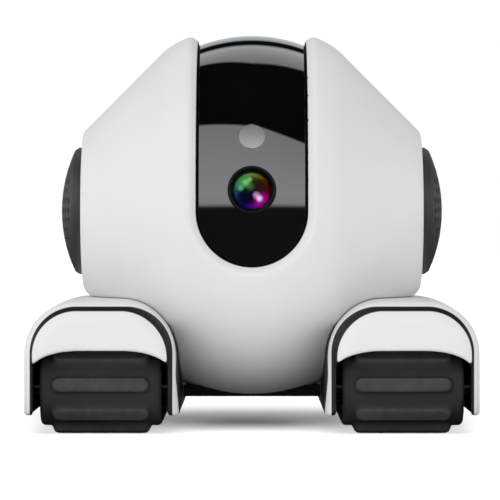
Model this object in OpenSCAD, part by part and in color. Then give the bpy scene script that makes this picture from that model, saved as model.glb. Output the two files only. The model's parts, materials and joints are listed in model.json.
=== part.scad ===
// Tracked robot pet camera: a round white body with a tilting camera head in a
// slot, perforated side covers, and two covered rubber tracks.
// Frame: the floor is z = 0 under the middle of the body, the camera looks
// along -Y, +X is on the right of a viewer who faces the camera.

/* [Body] */
// Height of the body's left-right axis above the floor
axis_h = 77; // [76.5:0.1:77.5]
// Radius of the crown's arc
crown_r = 57.6; // [57.4:0.1:57.8]
// Distance of the crown arc's centre from the body's axis
crown_off = 9.4; // [9.2:0.1:9.6]
// Half width of the body between its flat sides
body_hw = 61; // [60.6:0.1:61.2]
// Sum of half width and radius along the 45 degree flanks
flank_sum = 88.4; // [88.2:0.1:88.8]
// Wall of the casing at the flanks
wall = 3; // [2.6:0.1:3.2]
// Wall of the casing at the crown
crown_wall = 3.6; // [3.4:0.1:3.7]
// Plane that parts the front casing from the rear casing
split_y = 8; // [6:0.5:10]

/* [Camera head] */
// Half width of the slot in the casing
slot_hw = 19.3; // [18.8:0.1:19.6]
// Elevation of the slot's rear end circle, counted from the front over the top
slot_back = 112; // [110:1:114]
// Gap between the casing and the visor
visor_gap = 0.6; // [0.5:0.05:0.7]
// Thickness of the visor
visor_t = 2.5; // [2:0.1:2.6]
// Half width of the visor
visor_hw = 24.4; // [24.2:0.1:24.4]
// Elevation of the visor's lower end
visor_lo = -58; // [-60:1:-56]
// Elevation of the visor's upper end
visor_hi = 144; // [142:1:146]
// Elevation of the lens
lens_el = 5.6; // [5:0.1:6]
// Elevation of the sensor window
window_el = 23.7; // [23:0.1:24.5]
// Radius of the front lens
lens_r = 6.4; // [6.2:0.1:6.5]
// Outer radius of the lens bezel
bezel_r = 8.45; // [8.3:0.05:8.5]
// Radius of the sensor window
window_r = 4.5; // [4.2:0.1:4.7]
// Radius of the trunnions
trunnion_r = 4; // [3.8:0.1:4.2]

/* [Side covers] */
// Outer radius of the rim around a side cover
ear_r = 22.6; // [22.2:0.1:22.8]
// Reach of the side cover's dome from the body's middle
ear_tip = 68.8; // [68.4:0.1:69.2]
// Radius of the dome's sphere
ear_sphere = 41.4; // [41:0.1:42]

/* [Track covers] */
// Inner side of a track cover, from the body's middle
pod_x0 = 24.9; // [24.7:0.1:25.1]
// Outer side of a track cover, from the body's middle
pod_x1 = 77.9; // [77.6:0.1:78.2]
// Half length of a track cover
pod_hl = 67; // [67:0.5:68]
// Height of a track cover at its middle
pod_top = 46.2; // [45.8:0.1:46.4]
// Lower edge of a track cover
pod_low = 6.7; // [6.5:0.1:7]
// Radius of the round front and rear corners, seen from the side
pod_nose_r = 15; // [14:0.5:16]
// Radius of the round shoulders, seen from the front
pod_shoulder_r = 18; // [17:0.5:19]
// Wall of a track cover
pod_wall = 2.8; // [2.6:0.1:3]
// Upper edge of the opening in front of the track
mouth_z = 28.7; // [28:0.1:29.2]
// Thickness of the dark plate let into a track cover's inner side
liner_t = 0.6; // [0.5:0.05:0.7]

/* [Tracks] */
// Distance of the wheel axles from the middle
wheel_y = 48; // [48:1:48]
// Reach of the tread bars from the wheel axle, also the axle's height
tread_r = 15.8; // [15.8:0.1:15.8]
// Outer radius of the belt at the wheels
belt_r = 13.1; // [13:0.05:13.2]
// Thickness of the belt
belt_t = 1.6; // [1.5:0.05:1.7]
// Inner side of the belt, from the body's middle
belt_x0 = 30.8; // [30.6:0.1:31]
// Outer side of the belt, from the body's middle
belt_x1 = 72.7; // [72.5:0.1:72.9]
// Number of tread bars on one belt
bars = 30; // [30:1:30]
// Length of a tread bar at its foot
bar_l = 34; // [33:0.1:35]
// Width of a tread bar at its foot
bar_w = 5; // [4.8:0.1:5.2]
// Play between the belt and the wheels
wheel_gap = 0.3; // [0.25:0.05:0.4]
// Radius of the road rollers
roller_r = 5; // [4.8:0.1:5.2]
// Distance of the road rollers from the middle
roller_y = 18; // [17:0.5:20]

/* [Hidden] */

white = [0.9, 0.9, 0.91];
black = [0.05, 0.05, 0.055];
rubber = [0.2, 0.2, 0.21];
dark = [0.24, 0.24, 0.25];
steel = [0.72, 0.73, 0.75];
brass = [0.8, 0.64, 0.3];
board = [0.08, 0.28, 0.18];

$fn = 96;
lo = 0.05;                                  // radial play of a running fit
cav_r = crown_r - crown_wall;               // arc of the cavity under the crown
visor_ro = cav_r - visor_gap;               // arc of the visor's outer face
visor_ri = visor_ro - visor_t;              // arc of the visor's inner face
land = crown_off + sqrt(cav_r * cav_r - slot_hw * slot_hw) + 0.5;  // foot of the slot's bevel
disc_x0 = 20;                               // head frame's side plates
disc_x1 = 23;
disc_r = 54;
brk_x0 = 27.5;                              // bearing brackets
brk_x1 = 31.5;
notch = 0.5;                                // gap between casing and track covers
pan_z = 15;                                 // plane between casing and belly pan
pan_low = 11;                               // flat underside of the belly pan
pan_hl = 15;                                // half length of the belly pan
liner_top = 27.6;                           // upper edge of the plate in a track cover's side
belt_ri = belt_r - belt_t;                  // inner radius of the belt
wheel_r = belt_ri - wheel_gap;              // radius of the wheels
pitch_r = (bars * 9 - 4 * wheel_y) / (2 * PI);  // neutral line of the belt
roller_z = tread_r - belt_ri + wheel_gap + roller_r;
wheel_x0 = 32;
wheel_x1 = 71.5;
screw_y = [-8, 14];
screw_z = 25.6;
pan_xy = [[-12, -9], [12, -9], [-12, 9], [12, 9]];

// ---------- shared shapes ----------

// revolves a profile of (radius, x) about the body's axis
module about_axis() {
  translate([0, 0, axis_h]) rotate([0, 90, 0]) rotate_extrude($fn = 160) children();
}

// the same over the elevations a to b, counted from the front over the top
module about_axis_from(a, b) {
  translate([0, 0, axis_h]) rotate([0, 90, 0]) rotate([0, 0, -90 - b])
    rotate_extrude(angle = b - a, $fn = 160) children();
}

// places a shape with its +Z along the elevation e, from the body's axis
module at_el(e) { translate([0, 0, axis_h]) rotate([90 - e, 0, 0]) children(); }

// a cylinder along X from x0 to x1 about a line at (y, z)
module rod_x(x0, x1, r, y, z) {
  translate([x0, y, z]) rotate([0, 90, 0]) cylinder(h = x1 - x0, r = r);
}

// a cylinder along Y from y0 to y1 about a line at (x, z)
module rod_y(y0, y1, r, x, z) {
  translate([x, y0, z]) rotate([-90, 0, 0]) cylinder(h = y1 - y0, r = r);
}

module box(a, b) { translate(a) cube(b - a); }

// profile of the body, its arc and its flanks moved out by dc and df
module body2d(dc, df) {
  intersection() {
    union() {
      translate([crown_off, 0]) circle(r = crown_r + dc, $fn = 200);
      for (x = [-80, 38]) translate([0, x]) square([60, 42]);
    }
    polygon([
      [0, -body_hw - df], [flank_sum - body_hw + 0.414 * df, -body_hw - df],
      [flank_sum + 1.414 * df, 0],
      [flank_sum - body_hw + 0.414 * df, body_hw + df], [0, body_hw + df]
    ]);
  }
}

module body_solid() { about_axis() body2d(0, 0); }
module cavity(d) { about_axis() body2d(-crown_wall - d, -wall - d); }

// the slot with its 45 degree bevel: round front end, run over the top, round rear end
module slot_end(r) {
  rotate_extrude($fn = 96)
    polygon([[0, 40], [r, 40], [r, land], [r + 20, land + 20], [0, land + 20]]);
}
module slot() {
  at_el(0) rotate([0, 0, 90]) slot_end(slot_hw - 0.05);
  at_el(slot_back) rotate([0, 0, -90]) slot_end(slot_hw - 0.05);
  about_axis_from(0, slot_back)
    polygon([[40, -slot_hw], [land, -slot_hw], [land + 20, -slot_hw - 20],
             [land + 20, slot_hw + 20], [land, slot_hw], [40, slot_hw]]);
}

// side view of a track cover in (y, z), shrunk by d
module pod_side2d(d, low) {
  zn = pod_top - pod_nose_r - 0.45;
  translate([-pod_hl + d, low]) square([2 * (pod_hl - d), zn - low]);
  for (s = [-1, 1])
    translate([s * (pod_hl - pod_nose_r), zn]) circle(r = pod_nose_r - d, $fn = 96);
  intersection() {
    translate([-pod_hl + pod_nose_r, pod_low]) square([2 * (pod_hl - pod_nose_r), 60]);
    translate([0, pod_top - 3000]) circle(r = 3000 - d, $fn = 720);
  }
}
// front view of a track cover in (x, z), shrunk by d
module pod_front2d(d) {
  zf = pod_top + 0.05 - pod_shoulder_r;
  translate([pod_x0 + d, -5]) square([pod_x1 - pod_x0 - 2 * d, zf + 5]);
  for (x = [pod_x0 + pod_shoulder_r, pod_x1 - pod_shoulder_r])
    translate([x, zf]) circle(r = pod_shoulder_r - d, $fn = 96);
  translate([pod_x0 + pod_shoulder_r, zf])
    square([pod_x1 - pod_x0 - 2 * pod_shoulder_r, pod_shoulder_r - d]);
}
module pod_solid(d, low) {
  intersection() {
    translate([pod_x0 - 2, 0, 0]) rotate([90, 0, 90])
      linear_extrude(pod_x1 - pod_x0 + 4) pod_side2d(d, low);
    translate([0, 80, 0]) rotate([90, 0, 0]) linear_extrude(160) pod_front2d(d);
  }
}
module both_sides() { children(); mirror([1, 0, 0]) children(); }
module left() { mirror([1, 0, 0]) children(); }

// ---------- casing ----------

module casing() {
  difference() {
    body_solid();
    cavity(0);
    slot();
    both_sides() pod_solid(-notch, -2);
    box([-40, -60, 0], [40, 60, pan_low]);
    box([-40, -pan_hl - 0.05, 0], [40, pan_hl + 0.05, pan_z]);
    box([-18, -15, 0], [18, 15, 20]);
    rod_x(-70, 70, 19, 0, axis_h);
  }
}

module front_shell() {
  color(white) intersection() {
    casing();
    box([-80, -80, 0], [80, split_y, 160]);
  }
}

module rear_shell() {
  color(white) union() {
    difference() {
      intersection() {
        casing();
        box([-80, split_y, 0], [80, 80, 160]);
      }
      rod_y(50, 75, 4.85, 0, 66);
      translate([0, 75, 54]) rotate([90, 0, 0]) linear_extrude(25) slot2d(10.4, 4.4);
    }
    for (x = [-9, 9]) rod_y(51.6, 58.5, 2, x, 50);
  }
}

module slot2d(w, h) {
  square([w - h, h], center = true);
  for (s = [-1, 1]) translate([s * (w - h) / 2, 0]) circle(d = h, $fn = 48);
}

module belly_pan() {
  color(black) difference() {
    box([-pod_x0 + notch, -pan_hl, pan_low], [pod_x0 - notch, pan_hl, pan_z - 0.05]);
    cavity(0);
    for (p = pan_xy) translate([p[0], p[1], 0]) {
      cylinder(h = 20, r = 1.5);
      cylinder(h = 13.2, r = 2.7);
    }
    for (x = [-5.5, 5.5]) translate([x, -4, 0]) cylinder(h = 20, r = 1.85);
  }
}

module dock_contacts() {
  color(brass) for (x = [-5.5, 5.5]) translate([x, -4, pan_low - 0.3]) {
    cylinder(h = 4.3, r = 1.8);
    translate([0, 0, 3.8]) cylinder(h = 1.2, r = 2.6);
  }
}

module chassis() {
  color(dark) difference() {
    union() {
      intersection() {
        union() {
          box([-24, -16, 22], [24, 30, 25]);
          for (x = [-18, 14]) box([x, 24, 24], [x + 4, 28, 70]);
        }
        cavity(0.4);
      }
      both_sides() for (y = screw_y) box([19.5, y - 4, 23], [pod_x0, y + 4, 34]);
      for (p = pan_xy) translate([p[0], p[1], pan_z]) cylinder(h = 8, r = 3);
    }
    for (p = pan_xy) translate([p[0], p[1], 0]) cylinder(h = 21.5, r = 1.25);
    both_sides() for (y = screw_y) rod_x(19.9, 30, 1.25, y, screw_z);
  }
}

module pan_screws() {
  color(steel) for (p = pan_xy) translate([p[0], p[1], 0]) difference() {
    union() {
      translate([0, 0, 12]) cylinder(h = 1.2, r = 2.5);
      translate([0, 0, 13.1]) cylinder(h = 7.9, r = 1.2);
    }
    translate([-1.8, -0.3, 11]) cube([3.6, 0.6, 1.5]);
    translate([-0.3, -1.8, 11]) cube([0.6, 3.6, 1.5]);
  }
}

module pod_screws() {
  color(steel) both_sides() for (y = screw_y) difference() {
    union() {
      rod_x(20.4, pod_x0 + pod_wall + 0.1, 1.2, y, screw_z);
      rod_x(pod_x0 + pod_wall, pod_x0 + pod_wall + 1.5, 2.5, y, screw_z);
    }
    translate([pod_x0 + pod_wall + 1, y - 1.8, screw_z - 0.3]) cube([2, 3.6, 0.6]);
    translate([pod_x0 + pod_wall + 1, y - 0.3, screw_z - 1.8]) cube([2, 0.6, 3.6]);
  }
}

// ---------- electronics in the body ----------

module battery_pack() {
  color("slategray") union() {
    box([-18.5, -12, 25], [18.5, 21.5, 38]);
    box([-9, 10, 38], [9, 21.5, 39.5]);
  }
}

module main_board() {
  color(board) union() {
    box([-19, 28, 40], [19, 29.6, 73]);
    box([-7, 29.6, 50], [7, 31.2, 64]);
    box([-17, 29.6, 44], [-10, 33, 50]);
    box([10, 29.6, 44], [16, 32, 49]);
  }
}

module io_board() { color(board) box([-12, 50, 47], [12, 51.6, 71]); }

module button_switch() {
  color(dark) union() {
    box([-3, 51.6, 63], [3, 54.4, 69]);
    rod_y(54.3, 55.2, 1.3, 0, 66);
  }
}

module power_button() {
  color(white) union() {
    rod_y(60.2, 65.7, 4.5, 0, 66);
    rod_y(58.8, 60.3, 5.6, 0, 66);
    rod_y(56.1, 59, 1.5, 0, 66);
  }
}

module usb_socket() {
  color(steel) difference() {
    translate([0, 62, 54]) rotate([90, 0, 0]) linear_extrude(10.4) slot2d(9, 3.3);
    difference() {
      translate([0, 63, 54]) rotate([90, 0, 0]) linear_extrude(8) slot2d(8.3, 2.6);
      box([-3.3, 50, 53.65], [3.3, 61.2, 54.35]);
    }
  }
}

// ---------- side covers ----------

module ear_grille() {
  translate([0, 0, axis_h]) rotate([0, 90, 0]) rotate_extrude($fn = 128)
    difference() {
      intersection() {
        translate([0, ear_tip - ear_sphere]) circle(r = ear_sphere, $fn = 240);
        translate([0, body_hw]) square([ear_r - 1.3, 20]);
      }
      intersection() {
        translate([0, ear_tip - ear_sphere - 1.6]) circle(r = ear_sphere, $fn = 240);
        translate([0, body_hw - 1]) square([ear_r - 2.9, 20]);
      }
    }
}
module ear_rim() {
  translate([0, 0, axis_h]) rotate([0, 90, 0]) rotate_extrude($fn = 128)
    polygon([[ear_r - 1.3, body_hw], [ear_r, body_hw], [ear_r, body_hw + 0.9],
             [ear_r - 0.5, body_hw + 1.7], [ear_r - 1.3, body_hw + 1.9]]);
}
module speaker() {
  translate([0, 0, axis_h]) rotate([0, 90, 0]) rotate_extrude($fn = 96)
    polygon([[0, 48], [9, 48], [9, 52], [17, 55.5], [18.4, 55.5], [18.4, 57.8],
             [16, 57.8], [14.5, 56.8], [5, 54.5], [4, 55.4], [0, 56.2]]);
}
module ear_grille_left() { color(dark) left() ear_grille(); }
module ear_grille_right() { color(dark) ear_grille(); }
module ear_rim_left() { color(dark) left() ear_rim(); }
module ear_rim_right() { color(dark) ear_rim(); }
module speaker_left() { color(black) left() speaker(); }
module speaker_right() { color(black) speaker(); }

// ---------- camera head ----------

module bearing_bracket() {
  difference() {
    intersection() {
      box([brk_x0, -60, axis_h - 9], [brk_x1, 60, axis_h + 9]);
      cavity(0.2);
    }
    rod_x(20, 40, trunnion_r + lo, 0, axis_h);
  }
}
module bearing_bracket_left() { color(dark) left() bearing_bracket(); }
module bearing_bracket_right() { color(dark) bearing_bracket(); }

module tilt_motor() {
  color(steel) difference() {
    union() {
      rod_x(brk_x1 + 0.3, 46.5, 13, 0, axis_h);
      box([brk_x1, -20, axis_h - 4], [brk_x1 + 1.2, -12, axis_h + 4]);
      box([brk_x1, 12, axis_h - 4], [brk_x1 + 1.2, 20, axis_h + 4]);
    }
    rod_x(brk_x1 - 1, 42, 2.5 + lo, 0, axis_h);
  }
}
module tilt_shaft() { color(steel) rod_x(24, 41.5, 2.5, 0, axis_h); }

module visor() {
  color(black) difference() {
    about_axis_from(visor_lo, visor_hi) difference() {
      intersection() {
        translate([crown_off, 0]) circle(r = visor_ro, $fn = 240);
        translate([42, -visor_hw]) square([30, 2 * visor_hw]);
      }
      intersection() {
        translate([crown_off, 0]) circle(r = visor_ri, $fn = 240);
        translate([0, -disc_x1]) square([80, 2 * disc_x1]);
      }
    }
    at_el(lens_el) translate([0, 0, 50]) cylinder(h = 20, r = bezel_r + 0.1);
    at_el(window_el) translate([0, 0, 50]) cylinder(h = 20, r = window_r + 0.1);
  }
}

module head_frame() {
  color(dark) difference() {
    union() {
      both_sides() {
        about_axis_from(visor_lo + 2, visor_hi - 2)
          translate([7, disc_x0]) square([disc_r - 7, disc_x1 - disc_x0]);
        rod_x(disc_x0 - 0.5, disc_x1 + 1.5, 12, 0, axis_h);
        rod_x(disc_x1, brk_x1 - 0.2, trunnion_r, 0, axis_h);
      }
      at_el(lens_el) translate([-disc_x0 - 0.5, -14, 32]) cube([2 * disc_x0 + 1, 28, 3]);
      at_el(window_el) translate([-disc_x0 - 0.5, 4, 40]) cube([2 * disc_x0 + 1, 5, 3]);
      for (e = [-45, 100]) at_el(e)
        translate([-disc_x0 - 0.5, 0, 45]) rotate([0, 90, 0]) cylinder(h = 2 * disc_x0 + 1, r = 3);
    }
    rod_x(23.8, 40, 2.52, 0, axis_h);
  }
}

module camera_board() {
  color(board) at_el(lens_el) difference() {
    translate([-14, -12, 35]) cube([28, 24, 1.6]);
    for (x = [-11.5, 11.5], y = [-9.5, 9.5]) translate([x, y, 30]) cylinder(h = 10, r = 1.1, $fn = 24);
  }
}
module image_sensor() { color(black) at_el(lens_el) translate([-4.5, -3.5, 36.6]) cube([9, 7, 1]); }
module lens_holder() {
  color(black) at_el(lens_el) difference() {
    union() {
      translate([-9, -9, 36.6]) cube([18, 18, 6]);
      translate([0, 0, 42]) cylinder(h = 8, r = 8);
    }
    translate([-7, -7, 36]) cube([14, 14, 4]);
    translate([0, 0, 36]) cylinder(h = 20, r = 6.05);
  }
}
module lens_barrel() {
  color(black) at_el(lens_el) rotate_extrude()
    polygon([[4, 41], [6, 41], [6, 50.5], [7.4, 50.5], [7.4, 57], [6.6, 57], [4, 53]]);
}
module front_lens() {
  color([0.25, 0.12, 0.4]) at_el(lens_el) rotate_extrude()
    intersection() {
      translate([0, 61.6 - 12]) circle(r = 12, $fn = 160);
      translate([0, 57.1]) square([lens_r, 10]);
    }
}
module lens_bezel() {
  color(black) at_el(lens_el) rotate_extrude()
    polygon([[lens_r + 0.1, 57.05], [7.5, 57.05], [7.5, 56], [bezel_r, 56], [bezel_r, 62.2],
             [bezel_r - 0.4, 62.6], [bezel_r - 1, 62.6], [lens_r + 0.1, 60.4]]);
}
module sensor_window() {
  color([0.6, 0.62, 0.64, 0.8]) at_el(window_el) rotate_extrude()
    intersection() {
      translate([0, 62.7 - 40]) circle(r = 40, $fn = 400);
      translate([0, 59]) square([window_r, 10]);
    }
}
module night_light_board() {
  color(board) at_el(window_el) translate([-16, -3, 43]) cube([32, 13, 1.6]);
}
module night_lights() {
  color([0.75, 0.78, 0.8]) at_el(window_el) for (x = [-11, 0, 11]) translate([x, 1, 44.6]) {
    cylinder(h = 4, r = 2.5);
    translate([0, 0, 4]) sphere(r = 2.5, $fn = 32);
  }
}

// ---------- tracks ----------

module fender() {
  difference() {
    pod_solid(0, pod_low);
    pod_solid(pod_wall, -2);
    box([pod_x0 + pod_wall, -80, -1], [pod_x1 - pod_wall, 80, mouth_z]);
    rod_x(pod_x0 + pod_wall - 1.6, pod_x1 - pod_wall + 1.6, 2.02, -wheel_y, tread_r);
    for (y = [-roller_y, roller_y])
      rod_x(pod_x0 + pod_wall - 1.6, pod_x1 - pod_wall + 1.6, 1.52, y, roller_z);
    for (y = screw_y) rod_x(pod_x0 - 1, pod_x0 + pod_wall + 1, 1.5, y, screw_z);
    translate([pod_x0 - 1, 0, 0]) rotate([90, 0, 90]) linear_extrude(liner_t + 1) liner2d(0);
  }
}
// outline of the plate in a track cover's inner side in (y, z), shrunk by d
module liner2d(d) {
  y1 = pod_hl - 1.6 - d;
  polygon([[-y1, pod_low - 6], [y1, pod_low - 6], [y1, liner_top - 3], [y1 - 3, liner_top - d],
           [-y1 + 3, liner_top - d], [-y1, liner_top - 3]]);
}
module pod_liner() {
  difference() {
    translate([pod_x0, 0, 0]) rotate([90, 0, 90]) linear_extrude(liner_t)
      intersection() {
        liner2d(0.05);
        translate([-80, pod_low]) square([160, 40]);
      }
    for (y = screw_y) rod_x(pod_x0 - 1, pod_x0 + pod_wall, 1.5, y, screw_z);
  }
}
module pod_liner_left() { color(dark) left() pod_liner(); }
module pod_liner_right() { color(dark) pod_liner(); }
module fender_left() { color(white) left() fender(); }
module fender_right() { color(white) fender(); }

// outline of the belt in (y, z), at distance r around the two axles
module loop2d(r) {
  square([2 * wheel_y, 2 * r], center = true);
  for (s = [-1, 1]) translate([s * wheel_y, 0]) circle(r = r, $fn = 128);
}

// one tread bar: foot on z = belt_r - 0.4, tip on z = tread_r, along X
module bar() {
  h = tread_r - belt_r;
  translate([0, 0, belt_r]) intersection() {
    translate([0, bar_w, 0]) rotate([90, 0, 0]) linear_extrude(2 * bar_w)
      polygon([[-bar_l / 2, -0.4], [bar_l / 2, -0.4], [bar_l / 2, 0], [bar_l / 2 - h, h],
               [-bar_l / 2 + h, h], [-bar_l / 2, 0]]);
    translate([-bar_l, 0, 0]) rotate([90, 0, 90]) linear_extrude(2 * bar_l)
      polygon([[-bar_w / 2, -0.4], [bar_w / 2, -0.4], [bar_w / 2, 0], [bar_w / 2 - 0.9, h],
               [-bar_w / 2 + 0.9, h], [-bar_w / 2, 0]]);
  }
}

// places a bar at the length s along the belt, counted downwards from the front
// wheel's level of 5.6 degrees above its axle
module on_belt(s) {
  q = PI * pitch_r;
  a = 95.6 * PI / 180 * pitch_r;
  L = 2 * wheel_y;
  t = s - a;
  if (t < 0) translate([0, -wheel_y, 0]) rotate([180 + t / pitch_r * 180 / PI, 0, 0]) children();
  else if (t < L) translate([0, -wheel_y + t, 0]) rotate([180, 0, 0]) children();
  else if (t < L + q)
    translate([0, wheel_y, 0]) rotate([180 + (t - L) / pitch_r * 180 / PI, 0, 0]) children();
  else if (t < 2 * L + q) translate([0, wheel_y - (t - L - q), 0]) children();
  else translate([0, -wheel_y, 0]) rotate([(t - 2 * L - q) / pitch_r * 180 / PI, 0, 0]) children();
}

module track_belt() {
  translate([0, 0, tread_r]) union() {
    translate([belt_x0, 0, 0]) rotate([90, 0, 90]) linear_extrude(belt_x1 - belt_x0)
      difference() { loop2d(belt_r); loop2d(belt_ri); }
    translate([(belt_x0 + belt_x1) / 2, 0, 0])
      for (i = [0 : bars - 1]) on_belt(i * 9) bar();
  }
}
module track_belt_left() { color(rubber) left() track_belt(); }
module track_belt_right() { color(rubber) track_belt(); }

// a wheel's profile of (radius, x) about its axle at (y, z)
module wheel_at(y, z) {
  translate([0, y, z]) rotate([0, 90, 0]) rotate_extrude($fn = 96) children();
}

module drive_wheel() {
  wheel_at(wheel_y, tread_r)
    polygon([[8.1, wheel_x0], [wheel_r, wheel_x0], [wheel_r, wheel_x0 + 9], [wheel_r - 1, wheel_x0 + 10],
             [wheel_r - 1, wheel_x1 - 10], [wheel_r, wheel_x1 - 9], [wheel_r, wheel_x1], [7, wheel_x1],
             [7, 66], [4, 66], [4, 64], [2, 64], [2, 60], [8.1, 60]]);
}
module drive_wheel_left() { color(dark) left() drive_wheel(); }
module drive_wheel_right() { color(dark) drive_wheel(); }

module motor_shaft() { rod_x(53, 64, 2, wheel_y, tread_r); }
module motor_shaft_left() { color(steel) left() motor_shaft(); }
module motor_shaft_right() { color(steel) motor_shaft(); }

module drive_motor() {
  difference() {
    union() {
      rod_x(pod_x0 + pod_wall, 29.7, 9, wheel_y, tread_r);
      rod_x(29.6, 58, 7.5, wheel_y, tread_r);
    }
    rod_x(52, 60, 2 + lo, wheel_y, tread_r);
  }
}
module drive_motor_left() { color(steel) left() drive_motor(); }
module drive_motor_right() { color(steel) drive_motor(); }

module idler_wheel() {
  wheel_at(-wheel_y, tread_r)
    polygon([[2 + lo, wheel_x0], [5, wheel_x0], [5, wheel_x0 + 1], [wheel_r, wheel_x0 + 1],
             [wheel_r, wheel_x0 + 10], [wheel_r - 1, wheel_x0 + 11], [wheel_r - 1, wheel_x1 - 11],
             [wheel_r, wheel_x1 - 10], [wheel_r, wheel_x1 - 1], [5, wheel_x1 - 1], [5, wheel_x1],
             [2 + lo, wheel_x1]]);
}
module idler_wheel_left() { color(dark) left() idler_wheel(); }
module idler_wheel_right() { color(dark) idler_wheel(); }

module idler_axle() {
  rod_x(pod_x0 + pod_wall - 1.5, pod_x1 - pod_wall + 1.5, 2, -wheel_y, tread_r);
}
module idler_axle_left() { color(steel) left() idler_axle(); }
module idler_axle_right() { color(steel) idler_axle(); }

module roller(y) {
  wheel_at(y, roller_z)
    polygon([[1.5 + lo, wheel_x0 + 1], [roller_r, wheel_x0 + 1], [roller_r, wheel_x0 + 11],
             [roller_r - 1, wheel_x0 + 12], [roller_r - 1, wheel_x1 - 12], [roller_r, wheel_x1 - 11],
             [roller_r, wheel_x1 - 1], [1.5 + lo, wheel_x1 - 1]]);
}
module front_roller_left() { color(dark) left() roller(-roller_y); }
module front_roller_right() { color(dark) roller(-roller_y); }
module rear_roller_left() { color(dark) left() roller(roller_y); }
module rear_roller_right() { color(dark) roller(roller_y); }

module roller_pins() {
  for (y = [-roller_y, roller_y])
    rod_x(pod_x0 + pod_wall - 1.5, pod_x1 - pod_wall + 1.5, 1.5, y, roller_z);
}
module roller_pins_left() { color(steel) left() roller_pins(); }
module roller_pins_right() { color(steel) roller_pins(); }

// ---------- one line per piece ----------

front_shell();
rear_shell();
belly_pan();
chassis();
battery_pack();
main_board();
io_board();
usb_socket();
button_switch();
power_button();
dock_contacts();
pan_screws();
pod_screws();
ear_grille_left();
ear_grille_right();
ear_rim_left();
ear_rim_right();
speaker_left();
speaker_right();
bearing_bracket_left();
bearing_bracket_right();
tilt_motor();
tilt_shaft();
visor();
head_frame();
lens_bezel();
front_lens();
lens_barrel();
lens_holder();
image_sensor();
camera_board();
sensor_window();
night_light_board();
night_lights();
fender_left();
fender_right();
pod_liner_left();
pod_liner_right();
track_belt_left();
track_belt_right();
drive_wheel_left();
drive_wheel_right();
motor_shaft_left();
motor_shaft_right();
drive_motor_left();
drive_motor_right();
idler_wheel_left();
idler_wheel_right();
idler_axle_left();
idler_axle_right();
front_roller_left();
front_roller_right();
rear_roller_left();
rear_roller_right();
roller_pins_left();
roller_pins_right();
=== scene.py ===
"""Looks of the tracked robot pet camera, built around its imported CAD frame. Shapes are in millimetres
in the row frame and go into Blender in metres."""

import json
import math

import bpy
import numpy as np
from mathutils import Matrix, Vector


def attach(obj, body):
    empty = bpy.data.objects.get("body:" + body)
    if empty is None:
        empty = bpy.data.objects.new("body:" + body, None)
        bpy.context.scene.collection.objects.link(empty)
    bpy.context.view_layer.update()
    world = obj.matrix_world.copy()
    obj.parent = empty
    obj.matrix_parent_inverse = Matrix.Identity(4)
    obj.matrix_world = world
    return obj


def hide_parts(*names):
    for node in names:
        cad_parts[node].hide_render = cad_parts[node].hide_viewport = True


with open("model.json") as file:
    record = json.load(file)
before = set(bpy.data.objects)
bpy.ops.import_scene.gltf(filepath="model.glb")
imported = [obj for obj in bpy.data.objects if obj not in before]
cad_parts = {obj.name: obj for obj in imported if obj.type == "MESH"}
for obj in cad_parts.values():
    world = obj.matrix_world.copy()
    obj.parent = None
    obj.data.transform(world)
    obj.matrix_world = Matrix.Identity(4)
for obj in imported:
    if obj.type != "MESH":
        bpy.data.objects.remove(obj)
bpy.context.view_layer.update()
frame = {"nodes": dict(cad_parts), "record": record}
nodes = frame["nodes"]
scene = bpy.context.scene

MM = 0.001
COARSE = 1.0
S2 = math.sqrt(2.0)
AXIS_H = 77.0


# ---------------------------------------------------------------- distance fields and meshing

def smax(a, b, k):
    h = np.maximum(k - np.abs(a - b), 0.0) / k
    return np.maximum(a, b) + h * h * k * 0.25


def smin(a, b, k):
    return -smax(-a, -b, k)


def rmax(a, b, r):
    """Intersection of two solids whose shared edge is rounded with the radius r."""
    return np.minimum(-r, np.maximum(a, b)) + np.hypot(np.maximum(r + a, 0.0), np.maximum(r + b, 0.0))


def slope(field, p, e):
    g = np.empty_like(p)
    for i in range(3):
        d = np.zeros(3)
        d[i] = e
        a, b = p + d, p - d
        g[:, i] = field(a[:, 0], a[:, 1], a[:, 2]) - field(b[:, 0], b[:, 1], b[:, 2])
    return g / (2 * e)


def onto(field, p, most, e=0.02):
    """Moves points along the field's slope onto its surface."""
    g = slope(field, p, e)
    d = field(p[:, 0], p[:, 1], p[:, 2])
    step = -d / np.maximum((g * g).sum(1), 0.15)
    move = g * step[:, None]
    n = np.linalg.norm(move, axis=1)
    return p + move * np.minimum(1.0, most / np.maximum(n, 1e-9))[:, None]


def ticks(lo, hi, cell, fine):
    """Grid lines from lo to hi, a cell apart, or closer within the stretches (from, to, cell) of fine."""
    t = [lo - 1.37 * cell]
    while t[-1] < hi + 1.4 * cell:
        t.append(t[-1] + min([cell] + [c for a, b, c in fine if a <= t[-1] < b]))
    return np.array(t)


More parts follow.
